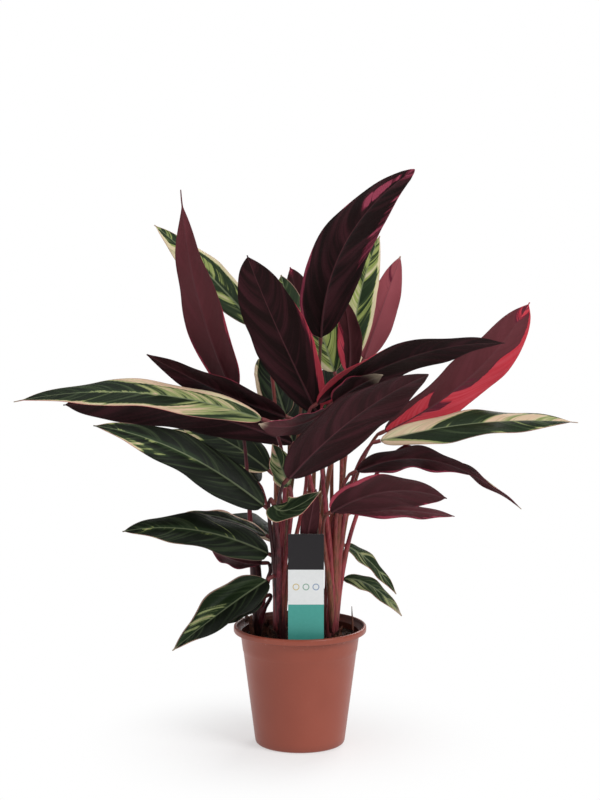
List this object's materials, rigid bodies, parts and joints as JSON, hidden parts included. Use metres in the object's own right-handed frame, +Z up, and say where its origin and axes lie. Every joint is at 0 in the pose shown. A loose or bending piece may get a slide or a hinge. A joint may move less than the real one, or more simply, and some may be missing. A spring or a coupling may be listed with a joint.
{
  "type": "potted stromanthe plant",
  "caption": "Bushy prayer plant with long pointed leaves, green and cream striped above and maroon below, standing in soil in a round tapered plastic pot with a plain plant label.",
  "frame": {"origin": "centre of the pot's flat underside", "axes": "+Z up along the pot's axis, -Y towards the side that faces the viewer, where the plant label stands; +X to the viewer's right"},
  "size_m": [0.7021, 0.4611, 0.7404],
  "materials": {
    "pot_plastic": "satin moulded terracotta-coloured plastic",
    "potting_soil": "rough dark peat with crumbs",
    "dry_stalk": "dry and dull",
    "label_card": "smooth printed plastic with plain colour bands",
    "stem": "smooth, slightly shiny, pink-red to brown-olive",
    "leaf": "smooth and waxy, green with cream stripes above, dark maroon below"
  },
  "bodies": {
    "root": {"pot": "pot_plastic", "soil": "potting_soil", "dry_stub": "dry_stalk", "label": "label_card", "shoot_left": "stem", "shoot_front": "stem", "shoot_right": "stem", "shoot_middle": "stem", "shoot_rear_left": "stem", "shoot_rear_right": "stem", "blade_01": "leaf", "blade_02": "leaf", "blade_03": "leaf", "blade_04": "leaf", "blade_05": "leaf", "blade_06": "leaf", "blade_07": "leaf", "blade_08": "leaf", "blade_09": "leaf", "blade_10": "leaf", "blade_11": "leaf", "blade_12": "leaf", "blade_13": "leaf", "blade_14": "leaf", "blade_15": "leaf", "blade_16": "leaf", "blade_17": "leaf", "blade_18": "leaf", "blade_19": "leaf", "blade_20": "leaf", "blade_21": "leaf", "blade_22": "leaf", "blade_23": "leaf", "blade_24": "leaf", "blade_25": "leaf", "blade_26": "leaf", "blade_27": "leaf", "blade_28": "leaf", "blade_29": "leaf", "blade_30": "leaf", "blade_31": "leaf", "blade_32": "leaf", "blade_33": "leaf", "blade_34": "leaf", "blade_35": "leaf", "blade_36": "leaf", "blade_37": "leaf", "blade_38": "leaf", "blade_39": "leaf", "blade_40": "leaf", "blade_41": "leaf", "blade_42": "leaf"}
  },
  "joints": []
}
